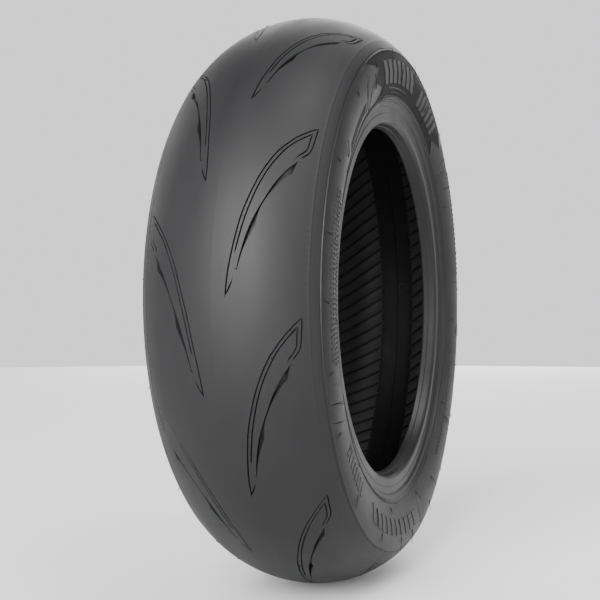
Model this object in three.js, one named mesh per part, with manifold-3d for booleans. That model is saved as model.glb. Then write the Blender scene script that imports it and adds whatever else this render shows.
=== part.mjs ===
import * as THREE from 'three';
import { mergeVertices } from 'three/addons/utils/BufferGeometryUtils.js';
import Module from 'manifold-3d';

// Motorcycle tyre, loose (off the rim), in millimetres. Spin axis is Y, up is +Z.
// Looking along +X, left is +Y and right is -Y. Every piece is a ring about Y.

const crownRadius = 248;
const ringSides = 28;
const bondGap = 0.3;

// Outer skin of half a section, from the crown centre outwards and down to the rim line.
const skinArcs = [
  { radius: 100, turn: 25.8 },
  { radius: 80, turn: 19.3 },
  { radius: 26, turn: 39.7 },
  { radius: 56, turn: 70 },
];

// Depths below the skin.
const capThickness = 6.4;
const baseThickness = 1.0;
const plyThickness = 0.7;
const linerThickness = 1.0;
const wallThickness = 2.8;
const capDepth = capThickness + bondGap;
const breakerDepth = capDepth + baseThickness + bondGap;
const plyPitch = plyThickness + bondGap;
const carcassDepth = breakerDepth + 2 * plyPitch;
const wallDepth = wallThickness + bondGap;

// Where layers end, as distances along the skin from the crown centre.
const breakerOuterHalf = 50;
const breakerInnerHalf = 55;
const baseHalf = 66;
const capHalf = 78.3;
const cushionStart = 121.4;

// Bead: wire core, its wrap, and the face that sits against the rim flange.
const coreInside = 53.5;
const coreOutside = 57.3;
const coreBottom = 159.6;
const coreTop = 164;
const wrapThickness = 0.5;
const chaferThickness = 0.5;
const flangeFaceY = 62.6;
const flangeFaceTop = 168.3;
const flangeFaceBottom = 157.2;
const toeRadius = 150.9;

// Tread pattern.
const pitchCount = 10;
const pitchTurn = 360 / pitchCount;
const sideStagger = -16.8;
const slotWidth = 1.1;
const slotDepth = 2.2;
const bladeDepth = 5;
const bladeShallowDepth = 1.8;
const bladeShallowAt = 54;
const bladeFullAt = 36;
const cutterRise = 8;

function skin(s, depth) {
  let y = 0;
  let r = crownRadius;
  let angle = 0;
  let left = s;
  for (const arc of skinArcs) {
    const turn = THREE.MathUtils.degToRad(arc.turn);
    const step = Math.min(left, arc.radius * turn) / arc.radius;
    y += arc.radius * (Math.sin(angle + step) - Math.sin(angle));
    r -= arc.radius * (Math.cos(angle) - Math.cos(angle + step));
    angle += step;
    left -= arc.radius * step;
    if (left <= 0) break;
  }
  return [y - depth * Math.sin(angle), r - depth * Math.cos(angle)];
}

// Depth of the carcass face below the skin, thick under the tread and thin in the wall.
const carcassStations = [
  [16, carcassDepth],
  [40, carcassDepth],
  [58, 10.0],
  [72, 7.0],
  [86, 3.5],
  [110, wallDepth],
];

// Point of a layer on the straight stretches between the carcass stations.
function layerPoint(s, depth) {
  const after = carcassStations.findIndex(([station]) => station >= s);
  const high = carcassStations[after][0];
  const low = carcassStations[Math.max(after - 1, 0)][0];
  const t = high === low ? 0 : (s - low) / (high - low);
  const [a, b] = [skin(low, depth), skin(high, depth)];
  return [THREE.MathUtils.lerp(a[0], b[0], t), THREE.MathUtils.lerp(a[1], b[1], t)];
}

// The carcass runs from the crown down inside the wire core, under it and up again.
const carcassToBead = carcassStations.map(([s, depth]) => skin(s, depth));
const clearance = bondGap + wrapThickness + bondGap;
const legInside = coreInside - clearance;
const legOutside = coreOutside + clearance;
const foldRadius = coreBottom - clearance;
const legTop = [legInside, coreTop + 1];
const fold = [[legInside, foldRadius], [legOutside, foldRadius]];
const foldedEdge = [legOutside, 166.6];
const foldedEdgeHigh = [61.2, 172];

// Parallel of an open path on its right-hand side, with mitred corners.
function parallel(path, distance) {
  return path.map((point, i) => {
    const before = path[Math.max(i - 1, 0)];
    const after = path[Math.min(i + 1, path.length - 1)];
    const a = new THREE.Vector2(point[0] - before[0], point[1] - before[1]);
    const b = new THREE.Vector2(after[0] - point[0], after[1] - point[1]);
    if (i === 0) a.copy(b);
    if (i === path.length - 1) b.copy(a);
    a.normalize();
    b.normalize();
    const normal = new THREE.Vector2(a.y + b.y, -a.x - b.x).normalize();
    const reach = distance / (normal.x * a.y - normal.y * a.x);
    return [point[0] + normal.x * reach, point[1] + normal.y * reach];
  });
}

function mirrored(points) {
  return points.map(([y, r]) => [-y, r]).reverse();
}

// Closed outline across both halves from the upper and lower lines of one half.
function acrossBoth(upper, lower) {
  const under = [...lower].reverse();
  return [...mirrored(upper), ...upper, ...under, ...mirrored(under)];
}

function band(path, from, to) {
  return acrossBoth(parallel(path, from), parallel(path, to));
}

function strip(path, from, to) {
  return [...parallel(path, from), ...parallel(path, to).reverse()];
}

// Flat sides of each ring touch the true circle, so a flat stands on the ground.
const flatToCorner = 1 / Math.cos(Math.PI / ringSides);

function ringGeometry(outline) {
  const area = THREE.ShapeUtils.area(outline.map(([y, r]) => new THREE.Vector2(y, r)));
  const ordered = area > 0 ? outline : [...outline].reverse();
  const points = ordered.map(([y, r]) => new THREE.Vector2(r * flatToCorner, y));
  points.push(points[0].clone());
  return new THREE.LatheGeometry(points.reverse(), ringSides, Math.PI / ringSides);
}

const finishes = {
  treadRubber: { color: 0x3b3c3e, roughness: 0.62 },
  wallRubber: { color: 0x343537, roughness: 0.55 },
  beadRubber: { color: 0x2e2f31, roughness: 0.45 },
  softRubber: { color: 0x4a4641, roughness: 0.7 },
  breakerCord: { color: 0x9a8b6a, roughness: 0.85 },
  bodyCord: { color: 0xb9ab86, roughness: 0.85 },
  chaferCord: { color: 0x8f8c82, roughness: 0.9 },
  linerRubber: { color: 0x262729, roughness: 0.5 },
  hardRubber: { color: 0x1f2022, roughness: 0.6 },
  wrapCord: { color: 0x6e6a60, roughness: 0.9 },
  beadWire: { color: 0xb38b4d, roughness: 0.35, metalness: 1 },
};

const group = new THREE.Group();
group.name = 'motorcycle_tire';

function add(name, geometry, finish) {
  const material = new THREE.MeshStandardMaterial({ metalness: 0, ...finishes[finish] });
  material.name = finish;
  const mesh = new THREE.Mesh(geometry, material);
  mesh.name = name;
  group.add(mesh);
}

function addRing(name, outline, finish) {
  add(name, ringGeometry(outline), finish);
}

function addPair(name, outline, finish) {
  addRing(`${name}_left`, outline, finish);
  addRing(`${name}_right`, mirrored(outline), finish);
}

// Point on the tread: s along the skin (positive to the right), angle up from -X.
function treadPoint(s, angle, depth) {
  const [y, r] = skin(Math.abs(s), depth);
  const turn = THREE.MathUtils.degToRad(angle);
  return [-r * Math.cos(turn), -Math.sign(s) * y, r * Math.sin(turn)];
}

// Long curved blade, wide in the shoulder and drawn out to a point near the crown.
const bladeOutline = [
  [54.2, -12.1], [51.6, -14.8], [38.5, -18.6], [30, -24.7], [19.2, -31.7], [28.5, -23],
  [40.5, -16.8],
];

// Two thin slots run beside the blade, from the shoulder to the crown.
const slotLines = [
  [[64.8, -4], [48, -8.1], [33, -13.6], [20, -22.5], [10.7, -36.2]],
  [[61.2, -5.6], [45, -9.9], [30, -17.1], [17, -29]],
];

function bladeDepthAt(s) {
  const t = THREE.MathUtils.clamp((bladeShallowAt - s) / (bladeShallowAt - bladeFullAt), 0, 1);
  return THREE.MathUtils.lerp(bladeShallowDepth, bladeDepth, t);
}

// Constant-width outline about a line, both given as [s, angle].
function slotOutline(line) {
  const degreeLength = THREE.MathUtils.degToRad(crownRadius);
  const flat = line.map(([s, angle]) => [s, angle * degreeLength]);
  const sides = [...parallel(flat, slotWidth / 2), ...parallel(flat, -slotWidth / 2).reverse()];
  return sides.map(([s, length]) => [s, length / degreeLength]);
}

// Closed cutter standing from above the skin down to the groove floor.
function cutter(outline, depthAt, side, turn) {
  const flat = outline.map(([s, angle]) => new THREE.Vector2(s, angle));
  if (THREE.ShapeUtils.isClockWise(flat)) flat.reverse();
  const faces = THREE.ShapeUtils.triangulateShape(flat, []);
  const count = flat.length;
  const rings = [() => -cutterRise, depthAt].map((depth) =>
    flat.map(({ x, y }) => treadPoint(side * x, y + turn, depth(x))));
  const triangles = [];
  for (const [a, b, c] of faces) {
    triangles.push([a, b, c], [count + a, count + c, count + b]);
  }
  for (let i = 0; i < count; i += 1) {
    const next = (i + 1) % count;
    triangles.push([i, count + i, next], [next, count + i, count + next]);
  }
  const index = triangles.flatMap(([a, b, c]) => (side > 0 ? [a, b, c] : [a, c, b]));
  const geometry = new THREE.BufferGeometry();
  geometry.setAttribute('position', new THREE.Float32BufferAttribute(rings.flat(2), 3));
  geometry.setIndex(index);
  return geometry;
}

const wasm = await Module();
wasm.setup();

function toSolid(geometry) {
  const bare = geometry.clone();
  bare.deleteAttribute('normal');
  bare.deleteAttribute('uv');
  const merged = mergeVertices(bare, 1e-4);
  return new wasm.Manifold(new wasm.Mesh({
    numProp: 3,
    vertProperties: new Float32Array(merged.attributes.position.array),
    triVerts: new Uint32Array(merged.index.array),
  }));
}

function toGeometry(solid) {
  const mesh = solid.getMesh();
  const geometry = new THREE.BufferGeometry();
  geometry.setAttribute('position', new THREE.Float32BufferAttribute(mesh.vertProperties, 3));
  geometry.setIndex(Array.from(mesh.triVerts));
  geometry.computeVertexNormals();
  return geometry;
}

// Tread cap with its grooves.
const capUpper = [8, 20, 32, 44, 55, 64, 71, 75, capHalf].map((s) => skin(s, 0));
const capLower = [
  ...[16, 40, 58, baseHalf + 0.4].map((s) => layerPoint(s, capThickness)), skin(75, 5.3),
];
const cutters = [];
for (let pitch = 0; pitch < pitchCount; pitch += 1) {
  for (const side of [1, -1]) {
    const turn = pitch * pitchTurn + (side > 0 ? 0 : sideStagger);
    cutters.push(toSolid(cutter(bladeOutline, bladeDepthAt, side, turn)));
    for (const line of slotLines) {
      cutters.push(toSolid(cutter(slotOutline(line), () => slotDepth, side, turn)));
    }
  }
}
const capBlank = toSolid(ringGeometry(acrossBoth(capUpper, capLower)));
add('tread_cap', toGeometry(wasm.Manifold.difference([capBlank, ...cutters])), 'treadRubber');

// Layers under the cap.
const baseLine = [16, 40, 58, baseHalf].map((s) => layerPoint(s, capDepth));
addRing('tread_base', band(baseLine, 0, baseThickness), 'softRubber');
const breakerOuterLine = [16, 40, breakerOuterHalf].map((s) => layerPoint(s, breakerDepth));
addRing('breaker_ply_outer', band(breakerOuterLine, 0, plyThickness), 'breakerCord');
const breakerInnerLine = [16, 40, breakerInnerHalf]
  .map((s) => layerPoint(s, breakerDepth + plyPitch));
addRing('breaker_ply_inner', band(breakerInnerLine, 0, plyThickness), 'breakerCord');
addPair('breaker_edge_strip', [
  [breakerOuterHalf + 0.5, breakerDepth], [58, breakerDepth],
  [64, breakerDepth], [64, 8.4], [58, 9.6],
  [breakerInnerHalf + 0.5, 9.6], [breakerInnerHalf + 0.5, 8.6],
  [breakerOuterHalf + 0.5, 8.6],
].map(([s, depth]) => layerPoint(s, depth)), 'softRubber');

// Carcass plies, folded round the bead core, and the airtight liner.
const plyPath = [...carcassToBead, legTop, ...fold, foldedEdge];
addRing('body_ply_outer', band([...plyPath, foldedEdgeHigh], 0, plyThickness), 'bodyCord');
addRing('body_ply_inner', band(plyPath, plyPitch, plyPitch + plyThickness), 'bodyCord');
const linerDepth = 2 * plyPitch;
const linerPath = [...carcassToBead, legTop];
addRing('inner_liner', band(linerPath, linerDepth, linerDepth + linerThickness), 'linerRubber');

// Side walls, from the tread edge to the rim line.
addPair('sidewall', [
  ...[capHalf + 0.4, 84, 90, 98, 107, 115, cushionStart - 0.4].map((s) => skin(s, 0)),
  [62, 176.3],
  skin(110, wallThickness), skin(86, 3.2), skin(75.5, 5.1),
], 'wallRubber');

// Rim cushion: rim line, flat flange face, heel, seat and toe.
addPair('rim_cushion', [
  skin(cushionStart, 0), [66.6, 173.6],
  [flangeFaceY, flangeFaceTop], [flangeFaceY, flangeFaceBottom],
  [62, 155.2], [60.2, 154.2], [51.6, toeRadius], [50.4, 151.2], [48.9, 154.5], [48.9, 164],
  [49.6, 164], [49.6, 155.7], [61.2, 155.7], [61.2, 167], [62.3, 171.9], [61.6, 172.7],
  [61.8, 175.8],
], 'beadRubber');

// Fabric chafer, hard filler, wrap and wire core.
const chaferPath = [[legInside, 163], ...fold, [legOutside, 164]];
addPair('chafer', strip(chaferPath, 2 * plyPitch, 2 * plyPitch + chaferThickness), 'chaferCord');
addPair('bead_filler', [
  [53.3, 164.4], [57.7, 164.4], [58, 166.5], [60.4, 171.4], [60.9, 174.9], [53.7, 165.9],
], 'hardRubber');
const wrapPath = [
  [coreInside, coreTop - 0.4], [coreInside, coreBottom],
  [coreOutside, coreBottom], [coreOutside, coreTop - 0.4],
];
addPair('bead_wrap', strip(wrapPath, bondGap, bondGap + wrapThickness), 'wrapCord');
addPair('bead_core', [
  [coreInside, coreBottom + 0.5], [coreInside + 0.5, coreBottom],
  [coreOutside - 0.5, coreBottom], [coreOutside, coreBottom + 0.5],
  [coreOutside, coreTop], [coreInside, coreTop],
], 'beadWire');

export default group;
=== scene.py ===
import math
import random
import bmesh
import bpy
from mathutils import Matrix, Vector
from mathutils.geometry import delaunay_2d_cdt


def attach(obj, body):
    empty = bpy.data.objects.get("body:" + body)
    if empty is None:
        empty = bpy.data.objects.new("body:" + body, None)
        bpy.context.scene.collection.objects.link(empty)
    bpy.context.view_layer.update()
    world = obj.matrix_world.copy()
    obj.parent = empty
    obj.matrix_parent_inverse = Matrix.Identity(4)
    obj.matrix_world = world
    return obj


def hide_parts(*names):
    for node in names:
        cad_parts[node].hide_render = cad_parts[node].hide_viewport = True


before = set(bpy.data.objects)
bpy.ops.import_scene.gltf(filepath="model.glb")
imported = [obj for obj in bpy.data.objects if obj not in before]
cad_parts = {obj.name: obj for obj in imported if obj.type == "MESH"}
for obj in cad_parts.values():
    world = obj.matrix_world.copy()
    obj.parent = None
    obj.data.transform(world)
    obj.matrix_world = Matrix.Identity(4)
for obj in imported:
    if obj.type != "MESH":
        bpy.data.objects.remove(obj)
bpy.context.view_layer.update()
mm = 0.001

# Section of the tyre, in millimetres: s runs along the outer skin from the crown centre.
section = {
    "crownRadius": 248,
    "arcs": [(100, 25.8), (80, 19.3), (26, 39.7), (56, 70)],  # radius, turn in degrees
    "columns": 300,  # steps round every smooth ring
}


# y and radius of a point under the outer skin
def skin(s, depth=0):
    y, r, angle, left = 0, section["crownRadius"], 0, abs(s)
    for radius, turn in section["arcs"]:
        step = min(left / radius, math.radians(turn))
        y += radius * (math.sin(angle + step) - math.sin(angle))
        r -= radius * (math.cos(angle) - math.cos(angle + step))
        angle += step
        left -= radius * step
        if left <= 0:
            break
    return y - depth * math.sin(angle), r - depth * math.cos(angle)


# Point of a ring: turn in degrees, up from -X; y to the left
def onRing(y, r, turn):
    a = math.radians(turn)
    return Vector((-r * math.cos(a), y, r * math.sin(a))) * mm


def onSkin(s, turn, depth=0):
    y, r = skin(s, depth)
    return onRing(-math.copysign(y, s), r, turn)


# sRGB hex to the linear colour a shader takes
def linear(hexColour):
    parts = [int(hexColour[i:i + 2], 16) / 255 for i in (1, 3, 5)]
    return [c / 12.92 if c <= 0.04045 else ((c + 0.055) / 1.055) ** 2.4 for c in parts] + [1]


def addNode(tree, kind, values=None, links=None, **settings):
    node = tree.nodes.new(kind)
    for key, value in settings.items():
        setattr(node, key, value)
    for key, value in (values or {}).items():
        node.inputs[key].default_value = value
    for key, socket in (links or {}).items():
        tree.links.new(socket, node.inputs[key])
    return node


def makeMesh(name, points, faces, material, sharpAngle=28):
    mesh = bpy.data.meshes.new(name)
    mesh.from_pydata([tuple(p) for p in points], [], faces)
    mesh.validate()
    mesh.polygons.foreach_set("use_smooth", [True] * len(mesh.polygons))
    if sharpAngle:
        mesh.set_sharp_from_angle(angle=math.radians(sharpAngle))
    mesh.materials.append(material)
    piece = bpy.data.objects.new(name, mesh)
    bpy.context.scene.collection.objects.link(piece)
    return piece


# Evenly spaced points on a curve through all the given points
def smoothPath(corners, step):
    if len(corners) == 2:
        fine = corners
    else:
        ends = [2 * Vector(corners[0]) - Vector(corners[1])]
        ends += [Vector(c) for c in corners]
        ends += [2 * Vector(corners[-1]) - Vector(corners[-2])]
        fine = []
        for a, b, c, d in zip(ends, ends[1:], ends[2:], ends[3:]):
            for k in range(12):
                t = k / 12
                fine.append(0.5 * ((2 * b) + (c - a) * t + (2 * a - 5 * b + 4 * c - d) * t * t
                                   + (3 * b - a - 3 * c + d) * t * t * t))
        fine.append(ends[-2])
    return evenly([Vector(p) for p in fine], step)


# Evenly spaced points on a line of many points
def evenly(fine, step):
    lengths = [0]
    for a, b in zip(fine, fine[1:]):
        lengths.append(lengths[-1] + (b - a).length)
    count = max(2, round(lengths[-1] / step) + 1)
    result, k = [], 0
    for i in range(count):
        target = lengths[-1] * i / (count - 1)
        while k < len(fine) - 2 and lengths[k + 1] < target:
            k += 1
        span = lengths[k + 1] - lengths[k]
        result.append(fine[k].lerp(fine[k + 1], (target - lengths[k]) / span if span else 0))
    return result


# An outline with each corner turned by its own radius
def rounded(corners, steps=4):
    outline = []
    for i, (y, r, radius) in enumerate(corners):
        p = Vector((y, r))
        a, b = Vector(corners[i - 1][:2]) - p, Vector(corners[(i + 1) % len(corners)][:2]) - p
        if not radius:
            outline.append((y, r))
            continue
        half = a.angle(b) / 2
        reach = min(radius / math.tan(half), a.length * 0.45, b.length * 0.45)
        start, end = p + a.normalized() * reach, p + b.normalized() * reach
        for k in range(steps + 1):
            t = k / steps
            outline.append(tuple(start.lerp(p, t).lerp(p.lerp(end, t), t)))
    return outline


def sideOf(points, i, width):
    a, b = points[max(i - 1, 0)], points[min(i + 1, len(points) - 1)]
    along = (b - a).normalized()
    return Vector((-along.y, along.x)) * width


# An outline with its lowest and highest corner, for a quick first test
def boxed(corners):
    return (list(corners), min(p.x for p in corners), min(p.y for p in corners),
            max(p.x for p in corners), max(p.y for p in corners))


def within(p, shape):
    corners, left, low, right, high = shape
    if not (left <= p.x <= right and low <= p.y <= high):
        return False
    inside = False
    for a, b in zip(corners, corners[1:] + corners[:1]):
        if (a.y > p.y) != (b.y > p.y) and p.x < a.x + (p.y - a.y) / (b.y - a.y) * (b.x - a.x):
            inside = not inside
    return inside


# A flat sheet with cut or raised outlines; each loop keeps its own depth
class Relief:

    def __init__(self, low, high, cell, columns):
        self.low, self.high, self.cell, self.columns = low, high, cell, columns
        self.points, self.depths, self.edges, self.lines = [], [], [], []
        # outlines kept free of grid points; outlines with a depth
        self.shapes, self.grounds = [], []

    def addLoop(self, points, depths):
        first = len(self.points)
        self.points += points
        self.depths += depths
        count = len(points)
        self.edges += [(first + i, first + (i + 1) % count) for i in range(count)]

    # A slot, or a rib where the depth is negative, of one width along a path
    def addLine(self, path, width, depth, taper=2.5, soft=0.18, ground=0):
        count = len(path)
        span = sum((b - a).length for a, b in zip(path, path[1:]))
        widths = []
        for i in range(count):
            toEnd = min(i, count - 1 - i) / max(count - 1, 1) * span
            narrowed = min(1, 0.35 + 0.65 * toEnd / taper) if taper else 1
            widths.append(0.5 * width * narrowed)
        self.lines.append((path, widths, depth, soft))
        for inset, share in ((0, 0), (soft, 0.12), (soft + 0.1, 1)):
            left = [p + sideOf(path, i, max(0.06, widths[i] - inset)) for i, p in enumerate(path)]
            right = [p - sideOf(path, i, max(0.06, widths[i] - inset)) for i, p in enumerate(path)]
            self.addLoop(left + right[::-1], [ground + share * (depth - ground)] * (2 * count))
            if not inset:
                self.shapes.append(boxed(left + right[::-1]))

    # A pocket between two edges, with its own depth beside each
    def addBlade(self, leftEdge, rightEdge, leftDepth, rightDepth, soft=0.22):
        for inset, share in ((0, 0), (soft, 0.1), (soft + 0.3, 1)):
            left, right, deepLeft, deepRight = [], [], [], []
            for a, b in zip(leftEdge, rightEdge):
                t = min(0.42, inset / max((b - a).length, 0.01))
                left.append(a.lerp(b, t))
                right.append(b.lerp(a, t))
                deepLeft.append(share * leftDepth(a.x))
                deepRight.append(share * rightDepth(b.x))
            self.addLoop(left + right[::-1], deepLeft + deepRight[::-1])
            if not inset:
                self.shapes.append(boxed(left + right[::-1]))

    # A raised flat shape with sloped sides, its corners in order
    def addPlate(self, corners, height, soft=0.3, ground=0):
        middle = sum(corners, Vector((0, 0))) / len(corners)
        ring = []
        for i, p in enumerate(corners):
            a = (p - corners[i - 1]).normalized()
            b = (corners[(i + 1) % len(corners)] - p).normalized()
            inward = Vector((-(a.y + b.y), a.x + b.x)).normalized()
            if inward.dot(middle - p) < 0:
                inward = -inward
            ring.append(p + inward * soft / max(0.5, abs(inward.x * b.y - inward.y * b.x)))
        self.addLoop(list(corners), [ground] * len(corners))
        self.addLoop(ring, [ground - height] * len(corners))
        self.shapes.append(boxed(corners))

    # A line of one depth from end to end of the sheet
    def addRing(self, s, depth):
        first = len(self.points)
        for i in range(self.columns + 1):
            v = self.low[1] + (self.high[1] - self.low[1]) * i / self.columns
            self.points.append(Vector((s, v)))
            self.depths.append(depth)
        self.edges += [(first + i, first + i + 1) for i in range(self.columns)]

    # Depth where two slots run into each other
    def crossingDepth(self, p):
        best = 0
        for path, widths, depth, soft in self.lines:
            for i in range(len(path) - 1):
                a, b = path[i], path[i + 1]
                along = b - a
                t = max(0, min(1, (p - a).dot(along) / max(along.length_squared, 1e-9)))
                reach = widths[i] - (p - a - along * t).length
                if reach > 0:
                    if reach < soft:
                        share = 0.12 * reach / soft
                    else:
                        share = 0.12 + 0.88 * (reach - soft) / 0.1
                    if abs(depth * min(1, share)) > abs(best):
                        best = depth * min(1, share)
        return best

    # Corners of the sheet, and triangles that follow every loop
    def build(self, keepClear=1.3):
        (s0, v0), (s1, v1) = self.low, self.high
        rows = max(2, round((s1 - s0) / self.cell))
        loopPoints = {}
        for p in self.points:
            loopPoints.setdefault((int(p.x // 2), int(p.y // 2)), []).append(p)
        points, depths, edges = list(self.points), list(self.depths), list(self.edges)
        for j in range(rows + 1):
            for i in range(self.columns + 1):
                rim = j in (0, rows) or i in (0, self.columns)
                shift = 0.5 if j % 2 and not rim and i < self.columns - 1 else 0
                p = Vector((s0 + (s1 - s0) * j / rows, v0 + (v1 - v0) * (i + shift) / self.columns))
                if not rim:
                    keys = [(int(p.x // 2) + a, int(p.y // 2) + b)
                            for a in (-1, 0, 1) for b in (-1, 0, 1)]
                    near = (q for key in keys for q in loopPoints.get(key, ()))
                    if any((p - q).length < keepClear for q in near):
                        continue
                    if any(within(p, shape) for shape in self.shapes):
                        continue
                points.append(p)
                depths.append(next((depth for shape, depth in self.grounds if within(p, shape)), 0))
        found, _, faces, source, _, _ = delaunay_2d_cdt(points, edges, [], 0, 1e-4, True)
        depth = []
        for p, origins in zip(found, source):
            known = [depths[k] for k in origins]
            crossing = self.crossingDepth(p) if self.lines and (not known or any(known)) else 0
            depth.append(max(known + [crossing], key=abs))
        return found, depth, [list(f) for f in faces]

    # 1 on sunk ground, 0 on the skin and on what stands raised
    def zoneOf(self, points, face):
        middle = sum((points[k] for k in face), Vector((0, 0))) / len(face)
        sunk = any(within(middle, shape) for shape, _ in self.grounds)
        return int(sunk and not any(within(middle, shape) for shape in self.shapes))


# Repeats a piece round the spin axis and welds the copies into one plain mesh
def ringRepeat(name, piece, count, material, weld=0.02, barMaterial=None):
    tree = bpy.data.node_groups.new(name, "GeometryNodeTree")
    tree.interface.new_socket("Geometry", in_out="INPUT", socket_type="NodeSocketGeometry")
    tree.interface.new_socket("Count", in_out="INPUT", socket_type="NodeSocketInt")
    tree.interface.new_socket("Weld Distance", in_out="INPUT", socket_type="NodeSocketFloat")
    tree.interface.new_socket("Geometry", in_out="OUTPUT", socket_type="NodeSocketGeometry")
    start = addNode(tree, "NodeGroupInput")
    spots = addNode(tree, "GeometryNodeMeshLine", {"Offset": (0, 0, 0)},
                    {"Count": start.outputs["Count"]})
    index = addNode(tree, "GeometryNodeInputIndex")
    step = addNode(tree, "ShaderNodeMath", {0: math.tau}, {1: start.outputs["Count"]},
                   operation="DIVIDE")
    turn = addNode(tree, "ShaderNodeMath", None, {0: index.outputs[0], 1: step.outputs[0]},
                   operation="MULTIPLY")
    about = addNode(tree, "ShaderNodeCombineXYZ", None, {"Y": turn.outputs[0]})
    copies = addNode(tree, "GeometryNodeInstanceOnPoints", None, {
        "Points": spots.outputs[0], "Instance": start.outputs["Geometry"],
        "Rotation": about.outputs[0]})
    real = addNode(tree, "GeometryNodeRealizeInstances", None, {0: copies.outputs[0]})
    welded = addNode(tree, "GeometryNodeMergeByDistance", None, {
        "Geometry": real.outputs[0], "Distance": start.outputs["Weld Distance"]})
    finished = addNode(tree, "GeometryNodeSetMaterial", {"Material": material},
                       {"Geometry": welded.outputs[0]})
    # faces marked as bars take the second material; for the liner this is the lighter copy of its
    # rubber, painted light
    if barMaterial:
        bars = addNode(tree, "GeometryNodeInputNamedAttribute", {"Name": "bar"},
                       data_type="BOOLEAN")
        finished = addNode(tree, "GeometryNodeSetMaterial", {"Material": barMaterial}, {
            "Geometry": finished.outputs[0], "Selection": bars.outputs["Attribute"]})
    addNode(tree, "NodeGroupOutput", None, {0: finished.outputs[0]})
    return applyTree(piece, tree, {"Count": count, "Weld Distance": weld * mm})


# Runs a node tree on a piece and keeps the result as its plain mesh
def applyTree(piece, tree, inputs, sharpAngle=28):
    nodes = piece.modifiers.new(tree.name, "NODES")
    nodes.node_group = tree
    for item in tree.interface.items_tree:
        if item.in_out == "INPUT" and item.name in inputs:
            nodes[item.identifier] = inputs[item.name]
    bpy.context.view_layer.update()
    evaluated = piece.evaluated_get(bpy.context.evaluated_depsgraph_get())
    plain = bpy.data.meshes.new_from_object(evaluated)
    piece.modifiers.remove(nodes)
    piece.data = plain
    plain.polygons.foreach_set("use_smooth", [True] * len(plain.polygons))
    if sharpAngle:
        plain.set_sharp_from_angle(angle=math.radians(sharpAngle))
    plain.name = piece.name
    return piece


# A closed ring from an outline of (y, radius); shape may move a point by its column
def lathe(name, outline, material, columns=None, sharpAngle=28, shape=None):
    columns = columns or section["columns"]
    area = sum(a[0] * b[1] - b[0] * a[1] for a, b in zip(outline, outline[1:] + outline[:1]))
    outline = outline if area > 0 else outline[::-1]
    points, faces, rows = [], [], len(outline)
    for i in range(columns):
        for j, (y, r) in enumerate(outline):
            y, r = shape(y, r, i) if shape else (y, r)
            points.append(onRing(y, r, 360 * i / columns))
    for i in range(columns):
        k = (i + 1) % columns
        for j in range(rows):
            l = (j + 1) % rows
            faces.append((i * rows + j, k * rows + j, k * rows + l, i * rows + l))
    return makeMesh(name, points, faces, material, sharpAngle)


# Finishes: one rubber recipe, set for each part of the mould it came out of; the liner is one
# rubber in two copies, a near-black one on the slots and the plain centre as painted shade and a
# lighter one on the bar tops as painted light.
finishes = {
    "sheen": 0.2,  # carbon-filled rubber reflects less than a polished plastic
    "linerSheen": 0.09,  # the liner keeps a film of dull mould release
    "treadColour": "#171718",
    "wallColour": "#151516",
    "panelColour": "#060607",
    "beadColour": "#1a1a1b",
    # painted shade: the liner's slot walls, slot floors and plain centre band are coloured near
    # black, darker than the outer rubber; painted light: its bar tops take a lighter copy of the
    # same rubber
    "linerShadeColour": "#050506",
    "linerBarLitColour": "#202021",
    "treadRoughness": 0.55,
    "wallRoughness": 0.46,
    "panelRoughness": 0.72,
    "beadRoughness": 0.38,
    "linerRoughness": 0.55,
}


# Cured rubber: near black, satin, with faint release clouding and a fine mould grain
def mouldedRubber(name, colour, roughness, cloudSize, cloudDepth, grainDepth, stretch=1,
                  sheen=finishes["sheen"]):
    material = bpy.data.materials.new(name)
    material.use_nodes = True
    tree = material.node_tree
    shader = tree.nodes["Principled BSDF"]
    shader.inputs["Base Color"].default_value = linear(colour)
    shader.inputs["IOR"].default_value = 1.5
    shader.inputs["Specular IOR Level"].default_value = sheen
    place = addNode(tree, "ShaderNodeTexCoord")
    drawn = addNode(tree, "ShaderNodeMapping", {"Scale": (1, stretch, 1)},
                    {"Vector": place.outputs["Object"]})
    cloud = addNode(tree, "ShaderNodeTexNoise", {"Scale": 1 / (cloudSize * mm), "Detail": 4},
                    {"Vector": drawn.outputs["Vector"]})
    spread = addNode(tree, "ShaderNodeMapRange", {
        "From Min": 0.3, "From Max": 0.7, "To Min": roughness - cloudDepth,
        "To Max": roughness + cloudDepth}, {"Value": cloud.outputs["Fac"]})
    tree.links.new(spread.outputs[0], shader.inputs["Roughness"])
    tint = addNode(tree, "ShaderNodeValToRGB", None, {"Fac": cloud.outputs["Fac"]})
    for stop, share in zip(tint.color_ramp.elements, (0.86, 1.12)):
        stop.color = [c * share for c in linear(colour)[:3]] + [1]
    tree.links.new(tint.outputs["Color"], shader.inputs["Base Color"])
    grain = addNode(tree, "ShaderNodeTexNoise", {"Scale": 1 / (1.2 * mm), "Detail": 3},
                    {"Vector": place.outputs["Object"]})
    bump = addNode(tree, "ShaderNodeBump", {"Strength": 1, "Distance": grainDepth * mm},
                   {"Height": grain.outputs["Fac"]})
    tree.links.new(bump.outputs[0], shader.inputs["Normal"])
    return material


treadRubber = mouldedRubber("mouldedTreadRubber", finishes["treadColour"],
                            finishes["treadRoughness"], 75, 0.05, 0.03, 4)
wallRubber = mouldedRubber("mouldedWallRubber", finishes["wallColour"],
                           finishes["wallRoughness"], 40, 0.05, 0.03)
panelRubber = mouldedRubber("sparkErodedPanelRubber", finishes["panelColour"],
                            finishes["panelRoughness"], 30, 0.04, 0.12)
beadRubber = mouldedRubber("polishedBeadRubber", finishes["beadColour"],
                           finishes["beadRoughness"], 35, 0.06, 0.02)
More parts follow.
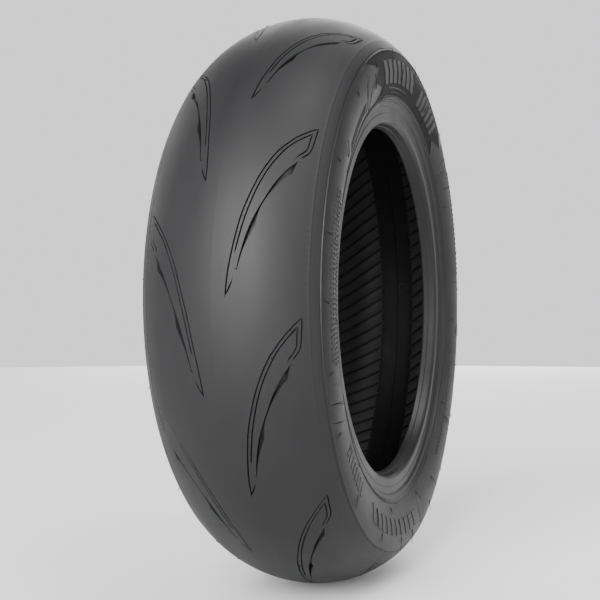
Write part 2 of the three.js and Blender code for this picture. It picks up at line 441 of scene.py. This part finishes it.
# two copies of one liner rubber: the near-black one is painted shade, the lighter one on the bar
# tops is painted light
shadedLinerRubber = mouldedRubber("linerRubberPaintedShade", finishes["linerShadeColour"],
                            finishes["linerRoughness"], 30, 0.06, 0.05,
                            sheen=finishes["linerSheen"])
litLinerBarRubber = mouldedRubber("linerBarRubberPaintedLight", finishes["linerBarLitColour"],
                               finishes["linerRoughness"], 12, 0.1, 0.12,
                               sheen=finishes["linerSheen"])

# Tread: each half repeats the same pitch; the left half is mirrored and turned back.
tread = {
    "pitches": 10,
    "staggerSteps": 14,
    "halfWidth": 78.3,
    "capThickness": 6.4,
    "cell": 3.3,
    "slotWidth": 1.15,
    "slotDepth": 2.4,
    "slotStep": 2.2,
    "bladePoints": 46,
    "bladeDepth": 4.6,
    "bladeShallow": (1.1, 2.6),  # at the shoulder end of the left and the right edge
    "bladeRamp": (52, 20),  # s where it starts to deepen, length of the slope
    "degree": math.radians(248),  # length of one degree along the crown
    "start": -38.4,
    "partingHeight": 0.05,
    # s, depth
    "witness": [(69.6, 0), (69.8, -0.08), (70.1, -0.08), (70.3, 0), (0.4, 0), (0.9, 0)],
    "underRows": (66.4, 50, 34, 17, 0),
}
pitchTurn = 360 / tread["pitches"]
pitchSteps = section["columns"] // tread["pitches"]

# Lines of the pattern as (s, turn); the two slots each have a short return at the shoulder.
slotLines = {
    "outer": [(64.8, -4), (60, -5), (55, -6.15), (50, -7.4), (45, -8.9), (40, -10.5), (35, -12.7),
              (30, -15.3), (25, -18.6), (19.5, -23), (15.3, -28), (12.3, -32.2), (10.7, -36.2)],
    "outerReturn": [(64.8, -4), (64.1, -6.2), (62.4, -9.4), (56.8, -11.2)],
    "barb": [(10.8, -36), (12.6, -35.3), (15.5, -33.8)],
    "inner": [(61.2, -5.6), (55, -7.1), (50, -8.4), (45, -9.9), (40, -11.9), (35, -14.2),
              (30, -17.1), (25.8, -20.2), (21.5, -24), (17, -29)],
    "innerReturn": [(61.2, -5.6), (60.4, -7.5), (59.4, -9.3), (53.3, -11.2)],
}
bladeEdges = {
    "left": [[(54.2, -12.1), (48, -13.9), (40.5, -16.8), (34.2, -20), (28.5, -23), (24.2, -25.9),
              (20.3, -29.5), (18.4, -31.8)]],
    "right": [[(54.3, -12.2), (53, -13.5), (51.8, -14.7)],
              [(51.8, -14.7), (46, -16), (38.5, -18.6), (33.4, -21), (31, -22.8), (30, -24.7)],
              [(30, -24.7), (26, -26.6), (22.3, -28.8), (18.7, -32)]],
}


def flatten(line):
    return [Vector((s, turn * tread["degree"])) for s, turn in line]


# The parts of one edge joined, with a point kept at each corner between them
def edgeOf(parts, count):
    curves = [smoothPath(flatten(part), 0.6) for part in parts]
    lengths = [sum((b - a).length for a, b in zip(c, c[1:])) for c in curves]
    edge = []
    for k, (curve, length) in enumerate(zip(curves, lengths)):
        share = max(2, round(count * length / sum(lengths)))
        if k == len(curves) - 1:
            share = count - len(edge)
        last = share - 1 if k == len(curves) - 1 else share
        edge += [curve[round(i / last * (len(curve) - 1))] for i in range(share)]
    return edge


def bladeFloor(shallow):
    def depth(s):
        rampFrom, rampLength = tread["bladeRamp"]
        t = max(0, min(1, (rampFrom - s) / rampLength))
        return shallow + (tread["bladeDepth"] - shallow) * t * t * (3 - 2 * t)
    return depth


def treadSheet():
    low = (0, tread["start"] * tread["degree"])
    high = (tread["halfWidth"], (tread["start"] + pitchTurn) * tread["degree"])
    sheet = Relief(low, high, tread["cell"], pitchSteps)
    for line in slotLines.values():
        path = smoothPath(flatten(line), tread["slotStep"])
        sheet.addLine(path, tread["slotWidth"], tread["slotDepth"])
    sheet.addBlade(*[edgeOf(bladeEdges[edge], tread["bladePoints"]) for edge in ("left", "right")],
                   *[bladeFloor(shallow) for shallow in tread["bladeShallow"]])
    for s, depth in tread["witness"]:
        sheet.addRing(s, depth)
    return sheet.build()


def treadPitch():
    found, depths, triangles = treadSheet()
    points, faces = [], []
    under = [(75, 5.3)] + [(s, tread["capThickness"]) for s in tread["underRows"]]
    for side in (1, -1):
        turned = 0 if side > 0 else -tread["staggerSteps"] * 360 / section["columns"]
        first = len(points)
        for p, depth in zip(found, depths):
            s = side * max(p.x, 1e-6)
            depth = -tread["partingHeight"] if p.x < 0.1 else depth
            points.append(onSkin(s, p.y / tread["degree"] + turned, depth))
        # known fault: in this shell and the wall, cushion and liner shells the faces point inwards
        faces += [[first + k for k in (f if side < 0 else f[::-1])] for f in triangles]
        first = len(points)
        rows = [(tread["halfWidth"], 0)] + under
        for i in range(pitchSteps + 1):
            turn = tread["start"] + i * 360 / section["columns"] + turned
            points += [onSkin(side * max(s, 1e-6), turn, depth) for s, depth in rows]
        for i in range(pitchSteps):
            for j in range(len(rows) - 1):
                a = first + i * len(rows) + j
                quad = [a, a + 1, a + 1 + len(rows), a + len(rows)]
                faces.append(quad if side < 0 else quad[::-1])
    return makeMesh("grooved_tread", points, faces, treadRubber)


treadPiece = ringRepeat("treadPitchRing", treadPitch(), tread["pitches"], treadRubber)
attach(treadPiece, "root")
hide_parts("tread_cap")
print("tread", len(treadPiece.data.polygons), "faces")

# Side wall: raised bars and dashes stand where a maker moulds words, on a plain or a dark ground.
sideWall = {
    "start": 78.7,
    "end": 121.0,
    "cell": 3.0,
    "degree": math.radians(195),
    "seam": -185,
    "panel": [(59, 215), (132, 215), (126, 205), (130, 196), (123, 186), (127, 178), (64, 178),
              (69, 186), (62, 196), (66, 205)],  # turn, radius
    "panelDepth": 0.3,
    # turn from, turn to, radius from, radius to, count, lean in degrees, height, share of each step
    "bars": [
        (71, 99, 188, 208, 7, -1.2, 0.6, 0.66),
        (103, 121, 185, 204, 6, 2.2, 0.6, 0.6),
        (36, 52, 184.5, 191.5, 24, 1.2, 0.45, 0.5),
        (-50, -35, 190, 203, 8, 0.6, 0.5, 0.5),
        (-99, -58, 190, 204, 10, -1.5, 0.6, 0.6),
        (-14, 23, 200.6, 203.8, 30, 0, 0.55, 0.55),
        (-15, 23, 195.4, 198.2, 36, 0, 0.55, 0.55),
        (-15, 21, 190.2, 193.0, 34, 0, 0.55, 0.55),
        (-13, 12, 184.6, 187.4, 24, 0, 0.55, 0.55),
        (140, 172, 204.5, 208.5, 22, 0, 0.45, 0.62),
        (-168, -128, 187, 190.5, 26, 0, 0.4, 0.6),
    ],
    "fins": [
        [(-30.5, 180), (-27, 203), (-25.5, 214), (-27.8, 196)],
        [(-27, 178), (-23, 200), (-21.5, 214), (-23.8, 192)],
        [(-23.5, 178), (-19.5, 194), (-18, 206), (-20.5, 187)],
        [(53.6, 181), (55.6, 196), (57.6, 211), (55.2, 201)],
        [(56.6, 179), (58.6, 188), (60.4, 196.5), (58.0, 191)],
        [(136, 180), (134, 196), (136.5, 212), (137.5, 196)],
        [(-104, 180), (-107, 196), (-104, 210), (-102.5, 196)],
    ],
    "finHeight": 0.45,
    "underlines": [(76, 93, 184.2, 1.3), (79, 90, 180.6, 0.9)],
    "underlineSteps": 12,
    # s, depth
    "rings": [(79.3, 0), (79.7, -0.45), (80.5, -0.45), (81.0, 0), (118.9, 0), (119.3, -0.3),
              (119.8, -0.3), (120.2, 0)],
    "oval": (-172, 204, 1.9, 5),  # turn, radius, half width in turn, half height
    "ovalPoints": 18,
}


# Place on the flattened wall of a turn and a radius
def wallSpot(turn, radius):
    low, high = 70, 125
    for _ in range(30):
        s = (low + high) / 2
        if skin(s)[1] > radius:
            low = s
        else:
            high = s
    return Vector((s, turn * sideWall["degree"]))


# Depth of the ground under a raised shape
def groundAt(sheet, corners):
    return next((depth for shape, depth in sheet.grounds if within(corners[0], shape)), 0)


def wallSheet():
    low = (sideWall["start"], sideWall["seam"] * sideWall["degree"])
    high = (sideWall["end"], (sideWall["seam"] + 360) * sideWall["degree"])
    sheet = Relief(low, high, sideWall["cell"], section["columns"])
    for s, depth in sideWall["rings"]:
        sheet.addRing(s, depth)
    outline = [wallSpot(*corner) for corner in sideWall["panel"]]
    rim = []
    for a, b in zip(outline, outline[1:] + outline[:1]):
        count = max(1, round((b - a).length / 4))
        rim += [a.lerp(b, i / count) for i in range(count)]
    middle = sum(rim, Vector((0, 0))) / len(rim)
    inner = [p + (middle - p).normalized() * 0.5 for p in rim]
    sheet.addLoop(rim, [-0.25] * len(rim))
    sheet.addLoop(inner, [sideWall["panelDepth"]] * len(inner))
    sheet.grounds.append((boxed(inner), sideWall["panelDepth"]))
    for start, end, inside, outside, count, lean, height, share in sideWall["bars"]:
        step = (end - start) / count
        for i in range(count):
            width = step * share
            turn = start + step * (i + 0.5) - width / 2
            corners = [wallSpot(turn, inside), wallSpot(turn + width, inside),
                       wallSpot(turn + width + lean, outside), wallSpot(turn + lean, outside)]
            if height > 0.55:
                a, b, c, d = corners
                corners = [a, b, b.lerp(c, 0.5), c, d, a.lerp(d, 0.5)]
            sheet.addPlate(corners, height, 0.3 if height > 0.4 else 0.2, groundAt(sheet, corners))
    for fin in sideWall["fins"]:
        sheet.addPlate([wallSpot(*corner) for corner in fin], sideWall["finHeight"], 0.25)
    for start, end, radius, width in sideWall["underlines"]:
        steps = sideWall["underlineSteps"]
        path = [wallSpot(start + (end - start) * i / steps, radius) for i in range(steps + 1)]
        ground = groundAt(sheet, path)
        sheet.addLine(path, width, ground - 0.5, 0, 0.25, ground)
    turn, radius, halfWidth, halfHeight = sideWall["oval"]
    angles = [math.tau * k / sideWall["ovalPoints"] for k in range(sideWall["ovalPoints"])]
    oval = [wallSpot(turn + halfWidth * math.cos(a), radius + halfHeight * math.sin(a))
            for a in angles]
    sheet.addPlate(oval, sideWall["finHeight"], 0.3)
    found, depths, triangles = sheet.build()
    zones = [sheet.zoneOf(found, face) for face in triangles]
    return found, depths, triangles, zones


flatWall = wallSheet()
wallUnder = [(62, 176.3)] + [skin(s, depth) for s, depth in (
    (110, 2.8), (98, 2.9), (86, 3.2), (80, 4.2), (75.5, 5.1))]


def sideWallPiece(name, side, turned):
    found, depths, triangles, zones = flatWall
    columns = section["columns"]
    points = [onSkin(side * p.x, p.y / sideWall["degree"] + turned, depth)
              for p, depth in zip(found, depths)]
    faces = [list(f if side < 0 else f[::-1]) for f in triangles]
    rows = [skin(sideWall["end"])] + wallUnder + [skin(sideWall["start"])]
    first = len(points)
    for i in range(columns):
        turn = sideWall["seam"] + 360 * i / columns + turned
        points += [onRing(-side * y, r, turn) for y, r in rows]
    for i in range(columns):
        for j in range(len(rows) - 1):
            a = first + i * len(rows) + j
            b = first + (i + 1) % columns * len(rows) + j
            quad = [a, a + 1, b + 1, b]
            faces.append(quad if side < 0 else quad[::-1])
    piece = makeMesh(name, points, faces, wallRubber, 0)
    piece.data.materials.append(panelRubber)
    for face, zone in zip(piece.data.polygons, zones):
        face.material_index = zone
    weldSeam(piece)
    return piece


def weldSeam(piece, sharpAngle=28):
    shell = bmesh.new()
    shell.from_mesh(piece.data)
    bmesh.ops.remove_doubles(shell, verts=shell.verts, dist=0.00001)
    shell.to_mesh(piece.data)
    shell.free()
    piece.data.polygons.foreach_set("use_smooth", [True] * len(piece.data.polygons))
    piece.data.set_sharp_from_angle(angle=math.radians(sharpAngle))


for name, side, turned in (("right", 1, 0), ("left", -1, 180)):
    wallPiece = sideWallPiece(f"moulded_wall_{name}", side, turned)
    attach(wallPiece, "root")
    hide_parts(f"sidewall_{name}")
print("side walls", len(wallPiece.data.polygons), "faces each")

# Rim cushion: rim line, flat flange face, heel, seat, and a toe edge with small moulded teeth.
cushion = {
    "columns": 400,
    "toothHeight": 0.45,
    # y, radius, rounding
    "corners": [
        (67.75, 176.2, 0), (67.35, 175.3, 0.2), (66.75, 175.35, 0.1), (66.4, 174.6, 0.1),
        (67.0, 174.35, 0.2), (66.6, 173.5, 0.3), (65.5, 172.9, 0.4), (64.5, 170.2, 1.5),
        (62.95, 168.9, 0.3), (62.6, 168.3, 0.2), (62.6, 163.6, 0.1), (63.0, 163.2, 0.1),
        (62.6, 162.8, 0.1), (62.6, 156.0, 2.4), (60.0, 154.1, 0.8), (55.4, 152.55, 0.1),
        (55.1, 152.1, 0.1), (54.7, 152.25, 0.1), (51.9, 151.15, 0.2), (51.3, 150.9, 0),
        (50.4, 151.2, 0), (49.3, 153.4, 0.8), (48.9, 155.4, 0.8), (48.9, 165.3, 0.3),
        (49.6, 165.5, 0), (49.6, 155.7, 0), (61.2, 155.9, 0), (61.2, 167, 0), (62.3, 171.9, 0),
        (61.6, 172.7, 0), (61.8, 175.8, 0),
    ],
}


def toothed(y, r, i):
    if r < 151.25 and y < 52:
        r -= cushion["toothHeight"] * (i % 2)
    return y, r


for name, side in (("right", -1), ("left", 1)):
    outline = [(side * y, r) for y, r in rounded(cushion["corners"])]
    cushionPiece = lathe(f"rim_cushion_skin_{name}", outline, beadRubber, cushion["columns"],
                         30, lambda y, r, i: (y, toothed(abs(y), r, i)[1]))
    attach(cushionPiece, "root")
    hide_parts(f"rim_cushion_{name}")
print("rim cushions")

# Liner: the moulding bladder leaves slanted air slots on both halves and a plain centre.
liner = {
    "slots": 108,
    "slotFrom": 16,
    "slotTo": 99,
    "slotWidth": 2.7,
    "slotDepth": 0.55,  # the plies lie 1 mm under the liner face
    "shear": 0.15,  # degrees of slant for each mm across
    "thickness": 1.0,
    "columns": 6,
    "cell": 3.5,
    "slotPoints": 24,
    "crownLine": 0.35,  # height of the line along the crown
    "barCrown": 0.8,
    # the carcass under it, as the frame has it: distance along the skin, depth
    "carcass": [(16, 10), (40, 10), (58, 10), (72, 7), (86, 3.5), (110, 3.1)],
    "beadLeg": (52.4, 165),  # y, radius where it ends beside the wire core
    "depthInCarcass": 3,  # two plies and the liner itself
    "cornerRadius": 9,
    "crownRise": 0.4,
    "end": (49.7, 164.3),
    "degree": math.radians(205),
}


# Even steps along the inside of half the section: straight between the carcass stations, as the
# plies under it are, so that none of them stands through, and down behind the cushion's lip.
def linerContour():
    path = [Vector(skin(s, depth)) for s, depth in liner["carcass"]] + [Vector(liner["beadLeg"])]
    corners = []
    for i, p in enumerate(path):
        b = (path[i + 1] - p).normalized() if i < len(path) - 1 else (p - path[i - 1]).normalized()
        a = (p - path[i - 1]).normalized() if i else b
        inward = Vector((a.y + b.y, -a.x - b.x)).normalized()
        corner = p + inward * liner["depthInCarcass"] / (inward.x * a.y - inward.y * a.x)
        corners.append((*corner, liner["cornerRadius"]))
    crown = (0, corners[0][1] + liner["crownRise"], 0)
    return evenly([Vector(p) for p in rounded([crown] + corners + [(*liner["end"], 0)])], 1.0)


contour = linerContour()


# Point on the liner: w mm from the crown, lifted towards the air space
def onLiner(side, w, turn, lift):
    place = max(0, min(len(contour) - 1.001, w))
    k = int(place)
    p = contour[k].lerp(contour[k + 1], place - k)
    before, after = contour[max(k - 1, 0)], contour[min(k + 2, len(contour) - 1)]
    along = (after - before).normalized()
    if w < 1:
        along = Vector((1, 0))
    p = p + Vector((along.y, -along.x)) * lift
    slant = liner["shear"] * max(0, w - liner["slotFrom"]) * side
    return onRing(-side * p.x, p.y, turn - slant)


def linerPitch():
    step = 360 / liner["slots"]
    width = len(contour) - 1
    columns = liner["columns"]
    sheet = Relief((0, 0), (width, step * liner["degree"]), liner["cell"], columns)
    middle = step * liner["degree"] / 2
    count = liner["slotPoints"]
    path = [Vector((liner["slotFrom"] + (liner["slotTo"] - liner["slotFrom"]) * i / count, middle))
            for i in range(count + 1)]
    sheet.addLine(path, liner["slotWidth"], liner["slotDepth"], 0, 0.3)
    sheet.addRing(0.5, -liner["crownLine"])
    sheet.addRing(0.9, 0)
    found, depths, triangles = sheet.build(0.9)
    points, faces, onBar = [], [], set()
    for side in (1, -1):
        first = len(points)
        for p, depth in zip(found, depths):
            if abs(depth) < 1e-6 and liner["slotFrom"] - 1 < p.x < liner["slotTo"] + 1:
                onBar.add(len(points))
            lift = liner["crownLine"] if p.x < 0.1 else -depth
            if not depth and liner["slotFrom"] + 2 < p.x < liner["slotTo"] - 2:
                slotEdge = liner["slotWidth"] / 2
                inBar = (abs(p.y - middle) - slotEdge) / (middle - slotEdge)
                lift += liner["barCrown"] * math.sin(math.pi / 2 * max(0, inBar))
            points.append(onLiner(side, p.x, p.y / liner["degree"], lift))
        faces += [[first + k for k in (f if side > 0 else f[::-1])] for f in triangles]
        first = len(points)
        rows = [(width, 0)] + [(w, -liner["thickness"]) for w in
                               (width, width - 8, 116, 104, 92, 82, 72, 62, 50, 38, 25, 12, 0)]
        for i in range(columns + 1):
            points += [onLiner(side, w, step * i / columns, lift) for w, lift in rows]
        for i in range(columns):
            for j in range(len(rows) - 1):
                a = first + i * len(rows) + j
                quad = [a, a + 1, a + 1 + len(rows), a + len(rows)]
                faces.append(quad if side > 0 else quad[::-1])
    piece = makeMesh("slotted_liner", points, faces, shadedLinerRubber)
    # bar tops get the lighter copy of the liner rubber as painted light; the slots and the centre
    # keep the near-black copy as painted shade
    marks = piece.data.attributes.new("bar", "BOOLEAN", "FACE")
    for face in piece.data.polygons:
        marks.data[face.index].value = all(k in onBar for k in face.vertices)
    return piece


linerPiece = ringRepeat("linerSlotRing", linerPitch(), liner["slots"], shadedLinerRubber,
                        barMaterial=litLinerBarRubber)
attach(linerPiece, "root")
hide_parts("inner_liner")
print("liner", len(linerPiece.data.polygons), "faces")

# Thin round things that follow a path: vent hairs, and the ring that a gauge leaves in the liner.
vents = {
    "seed": 7,
    "hairThickness": 0.8,
    "tipShare": 0.45,
    "points": 7,
    "rise": 0.14,  # how steeply a hair leaves the skin
    "wallCurve": 112,  # twice the wall's own radius, which a hair follows
    # rows on the wall: radius, how many, shortest and longest hair
    "wallRows": [(205, 22, 7, 13), (190, 12, 8, 19), (180, 10, 5, 12), (170.5, 14, 3, 6)],
    "slotHairs": [2, 5, 9],  # which stretches of the outer slot carry one
    "slotHairLength": 2.6,
    "markPlace": (7, 175.8),  # mm from the crown, turn
    "markRadius": 4.2,
    "markThickness": 0.8,
}


# Round rubber threads along the given paths, each drawn out to its tip
def tubes(name, paths, thickness, tipShare, material, closed=False):
    mesh = bpy.data.meshes.new(name)
    points, edges = [], []
    for path in paths:
        first = len(points)
        points += [tuple(p) for p in path]
        edges += [(first + i, first + i + 1) for i in range(len(path) - 1)]
        if closed:
            edges.append((first + len(path) - 1, first))
    mesh.from_pydata(points, edges, [])
    mesh.materials.append(material)
    piece = bpy.data.objects.new(name, mesh)
    bpy.context.scene.collection.objects.link(piece)
    tree = bpy.data.node_groups.new(name + "Tubes", "GeometryNodeTree")
    tree.interface.new_socket("Geometry", in_out="INPUT", socket_type="NodeSocketGeometry")
    tree.interface.new_socket("Thickness", in_out="INPUT", socket_type="NodeSocketFloat")
    tree.interface.new_socket("Tip Share", in_out="INPUT", socket_type="NodeSocketFloat")
    tree.interface.new_socket("Geometry", in_out="OUTPUT", socket_type="NodeSocketGeometry")
    start = addNode(tree, "NodeGroupInput")
    curve = addNode(tree, "GeometryNodeMeshToCurve", None, {"Mesh": start.outputs["Geometry"]})
    along = addNode(tree, "GeometryNodeSplineParameter")
    taper = addNode(tree, "ShaderNodeMapRange", {"To Min": 1}, {
        "Value": along.outputs["Factor"], "To Max": start.outputs["Tip Share"]})
    half = addNode(tree, "ShaderNodeMath", {1: 0.5}, {0: start.outputs["Thickness"]},
                   operation="MULTIPLY")
    profile = addNode(tree, "GeometryNodeCurvePrimitiveCircle", {"Resolution": 6},
                      {"Radius": half.outputs[0]})
    tube = addNode(tree, "GeometryNodeCurveToMesh", {"Fill Caps": True}, {
        "Curve": curve.outputs["Curve"], "Profile Curve": profile.outputs["Curve"],
        "Scale": taper.outputs[0]})
    real = addNode(tree, "GeometryNodeRealizeInstances", None, {0: tube.outputs["Mesh"]})
    finished = addNode(tree, "GeometryNodeSetMaterial", {"Material": material},
                       {0: real.outputs[0]})
    addNode(tree, "NodeGroupOutput", None, {0: finished.outputs[0]})
    return applyTree(piece, tree, {"Thickness": thickness * mm, "Tip Share": tipShare}, 60)


# A thread that leaves the skin and falls over towards its lean
def hair(root, outward, lean, length):
    path = []
    for k in range(vents["points"]):
        t = k / (vents["points"] - 1)
        rise = vents["rise"] * t * length - (t * length) ** 2 / vents["wallCurve"]
        path.append(root + (outward * rise + lean * t * length) * mm)
    path[0] = root - outward * 0.3 * mm
    return path


def wallHairs():
    chance = random.Random(vents["seed"])
    paths = []
    for side in (1, -1):
        for radius, count, shortest, longest in vents["wallRows"]:
            for i in range(count):
                turn = 360 * (i + chance.uniform(-0.3, 0.3)) / count
                s = wallSpot(0, radius).x
                root = onSkin(side * s, turn)
                outward = (onSkin(side * s, turn, -1) - root).normalized()
                upward = (onSkin(side * (s - 1), turn) - root).normalized()
                around = outward.cross(upward)
                lean = upward + around * chance.uniform(-0.4, 0.4)
                paths.append(hair(root, outward, lean.normalized(),
                                  chance.uniform(shortest, longest)))
    return paths


def treadHairs():
    chance = random.Random(vents["seed"] + 1)
    line = slotLines["outer"]
    paths = []
    for side in (1, -1):
        turned = 0 if side > 0 else -tread["staggerSteps"] * 360 / section["columns"]
        for pitch in range(tread["pitches"]):
            for k in vents["slotHairs"]:
                s, turn = line[k]
                turn += pitch * pitchTurn + turned
                root = onSkin(side * (s + 0.8), turn)
                outward = (onSkin(side * (s + 0.8), turn, -1) - root).normalized()
                beside = onSkin(side * (s + 2), turn + chance.uniform(-0.3, 0.3))
                across = (beside - root).normalized()
                length = vents["slotHairLength"] * chance.uniform(0.7, 1.3)
                paths.append(hair(root, outward * 0.6, across, length))
    return paths


flashRubber = mouldedRubber("ventFlashRubber", "#020203", 0.6, 20, 0.05, 0.02)
for name, paths, slot in (("vent_hairs_walls", wallHairs(), "wall_rubber"),
                          ("vent_hairs_tread", treadHairs(), "tread_rubber")):
    hairPiece = tubes(name, paths, vents["hairThickness"], vents["tipShare"], flashRubber)
    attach(hairPiece, "root")
markW, markTurn = vents["markPlace"]
markPath = [onLiner(1, markW + vents["markRadius"] * math.cos(a),
                    markTurn + vents["markRadius"] * math.sin(a) / liner["degree"], 0.15)
            for a in (math.tau * k / 32 for k in range(32))]
# the ring takes the lighter copy of the liner rubber, painted light
markPiece = tubes("liner_ring_mark", [markPath], vents["markThickness"], 1,
                  litLinerBarRubber, True)
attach(markPiece, "root")
print("hairs", len(hairPiece.data.polygons), "faces on the tread")

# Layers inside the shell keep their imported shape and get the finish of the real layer.
layers = {
    "breakerCordSpacing": 1.2,
    "bodyCordSpacing": 1.0,
    "chaferSpacing": 1.4,
    "wireDiameter": 0.96,
    "softColour": "#1f1d1b",
    "hardColour": "#141415",
    "breakerColour": "#6f6047",
    "bodyColour": "#8b7d5f",
    "chaferColour": "#5d5a53",
    "wrapColour": "#4a4741",
    "wireColour": "#b5894a",
}


# Twisted cords in a thin rubber coat: dull tan ribs with dark rubber between them
def cordFabric(name, colour, spacing, slant, woven=False):
    material = bpy.data.materials.new(name)
    material.use_nodes = True
    tree = material.node_tree
    shader = tree.nodes["Principled BSDF"]
    shader.inputs["Roughness"].default_value = 0.85
    shader.inputs["Specular IOR Level"].default_value = finishes["sheen"]
    place = addNode(tree, "ShaderNodeTexCoord")
    heights = []
    for turn in ((slant, -slant) if woven else (slant,)):
        laid = addNode(tree, "ShaderNodeMapping", {"Rotation": (0, 0, math.radians(turn))},
                       {"Vector": place.outputs["Object"]})
        heights.append(addNode(tree, "ShaderNodeTexWave", {
            "Scale": math.tau / (20 * spacing * mm), "Distortion": 0.3},
            {"Vector": laid.outputs["Vector"]}, bands_direction="X").outputs["Fac"])
    height = heights[0]
    if woven:
        height = addNode(tree, "ShaderNodeMath", None, {0: heights[0], 1: heights[1]},
                         operation="MULTIPLY").outputs[0]
    shade = addNode(tree, "ShaderNodeValToRGB", None, {"Fac": height})
    shade.color_ramp.elements[0].color = linear(layers["hardColour"])
    shade.color_ramp.elements[1].color = linear(colour)
    tree.links.new(shade.outputs["Color"], shader.inputs["Base Color"])
    bump = addNode(tree, "ShaderNodeBump", {"Distance": 0.2 * mm}, {"Height": height})
    tree.links.new(bump.outputs[0], shader.inputs["Normal"])
    return material


# Bronze-plated steel wire wound side by side: warm metal with a fine groove at each turn
def beadWire():
    material = bpy.data.materials.new("bronzePlatedBeadWire")
    material.use_nodes = True
    tree = material.node_tree
    shader = tree.nodes["Principled BSDF"]
    shader.inputs["Metallic"].default_value = 1
    shader.inputs["Roughness"].default_value = 0.32
    place = addNode(tree, "ShaderNodeTexCoord")
    wound = addNode(tree, "ShaderNodeTexWave", {
        "Scale": math.tau / (20 * layers["wireDiameter"] * mm)},
        {"Vector": place.outputs["Object"]}, bands_direction="Y")
    shade = addNode(tree, "ShaderNodeValToRGB", None, {"Fac": wound.outputs["Fac"]})
    shade.color_ramp.elements[0].color = linear("#5a4220")
    shade.color_ramp.elements[1].color = linear(layers["wireColour"])
    tree.links.new(shade.outputs["Color"], shader.inputs["Base Color"])
    bump = addNode(tree, "ShaderNodeBump", {"Distance": 0.3 * mm}, {"Height": wound.outputs["Fac"]})
    tree.links.new(bump.outputs[0], shader.inputs["Normal"])
    return material


softRubber = mouldedRubber("softBondingRubber", layers["softColour"], 0.7, 25, 0.05, 0.05)
hardRubber = mouldedRubber("hardFillerRubber", layers["hardColour"], 0.55, 25, 0.05, 0.03)
chaferWeave = cordFabric("wovenChaferFabric", layers["chaferColour"], layers["chaferSpacing"],
                         45, True)
wrapTape = cordFabric("rubberedWrapTape", layers["wrapColour"], layers["chaferSpacing"], 30, True)
wire = beadWire()
layerFinishes = {
    "tread_base": softRubber,
    "breaker_ply_outer": cordFabric("breakerCordOuter", layers["breakerColour"],
                                    layers["breakerCordSpacing"], 28),
    "breaker_ply_inner": cordFabric("breakerCordInner", layers["breakerColour"],
                                    layers["breakerCordSpacing"], -28),
    "body_ply_outer": cordFabric("bodyCordOuter", layers["bodyColour"],
                                 layers["bodyCordSpacing"], 40),
    "body_ply_inner": cordFabric("bodyCordInner", layers["bodyColour"],
                                 layers["bodyCordSpacing"], -40),
}
for side in ("left", "right"):
    layerFinishes |= {
        f"breaker_edge_strip_{side}": softRubber, f"chafer_{side}": chaferWeave,
        f"bead_filler_{side}": hardRubber, f"bead_wrap_{side}": wrapTape, f"bead_core_{side}": wire}
for node, material in layerFinishes.items():
    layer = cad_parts[node]
    if not layer.material_slots:
        layer.data.materials.append(material)
    layer.material_slots[0].material = material
print("inner layers", len(layerFinishes))

# Stage, light and camera.
studio = {
    "floorColour": "#cfcfcf",
    "floorHeight": -0.2485,
    "floorReach": 4.6,  # as far as the lamps stand
    "horizonLight": 1.25,  # pale wall of the room all round
    "ceilingLight": 0.1,
    # name, place, target, size, watts
    "lamps": [
        ("keySoftbox", (-4.9, 0.1, 1.0), (0, 0, 0), (2.5, 6.0), 1480),
        ("frontSoftbox", (-3.2, -3.6, 2.2), (0, 0, 0), (2.0, 4.5), 92),
        ("topSoftbox", (-0.7, -2.2, 4.5), (0, 0, 0), (3.0, 3.0), 240),
        ("backSoftbox", (4.8, 1.2, 2.2), (0, 0, 0), (3.5, 5.0), 380),
        ("leftSoftbox", (2.0, 4.6, 2.4), (0, 0, 0), (3.0, 3.0), 50),
    ],
    "lens": 66.7,
    "cameraPlace": (-0.949, -0.3294, -0.0171),
    "lookAlong": (0.93611, 0.35128, 0.01733),
}


def addLight(name, place, target, size, power):
    data = bpy.data.lights.new(name, "AREA")
    data.shape = "RECTANGLE"
    data.size, data.size_y = size
    data.energy = power
    lamp = bpy.data.objects.new(name, data)
    lamp.location = place
    lamp.rotation_euler = (Vector(target) - Vector(place)).to_track_quat("-Z", "Y").to_euler()
    lamp.visible_camera = False  # seen from behind, no lamp stands in the picture
    bpy.context.scene.collection.objects.link(lamp)


floorMaterial = bpy.data.materials.new("paleStudioPaper")
floorMaterial.use_nodes = True
floorShader = floorMaterial.node_tree.nodes["Principled BSDF"]
floorShader.inputs["Base Color"].default_value = linear(studio["floorColour"])
floorShader.inputs["Roughness"].default_value = 0.9
floorPiece = makeMesh("studio_floor", [
    (studio["floorReach"] * math.cos(a), studio["floorReach"] * math.sin(a), studio["floorHeight"])
    for a in (math.tau * k / 96 for k in range(96))], [list(range(96))], floorMaterial, 0)

world = bpy.data.worlds.new("paleStudio")
world.use_nodes = True
worldTree = world.node_tree
background = worldTree.nodes["Background"]
background.inputs["Color"].default_value = (1, 1, 1, 1)
direction = addNode(worldTree, "ShaderNodeTexCoord")
height = addNode(worldTree, "ShaderNodeSeparateXYZ", None, {0: direction.outputs["Generated"]})
fromHorizon = addNode(worldTree, "ShaderNodeMath", None, {0: height.outputs["Z"]},
                      operation="ABSOLUTE")
glow = addNode(worldTree, "ShaderNodeMapRange", {
    "From Min": 0.28, "From Max": 0.6, "To Min": studio["horizonLight"],
    "To Max": studio["ceilingLight"]}, {"Value": fromHorizon.outputs[0]},
    interpolation_type="SMOOTHSTEP")
worldTree.links.new(glow.outputs[0], background.inputs["Strength"])
bpy.context.scene.world = world
for lamp in studio["lamps"]:
    addLight(*lamp)

cameraData = bpy.data.cameras.new("camera")
cameraData.lens = studio["lens"]
cameraData.sensor_width = 36
camera = bpy.data.objects.new("camera", cameraData)
camera.location = studio["cameraPlace"]
camera.rotation_euler = Vector(studio["lookAlong"]).to_track_quat("-Z", "Y").to_euler()
bpy.context.scene.collection.objects.link(camera)
bpy.context.scene.camera = camera

print("scene done")
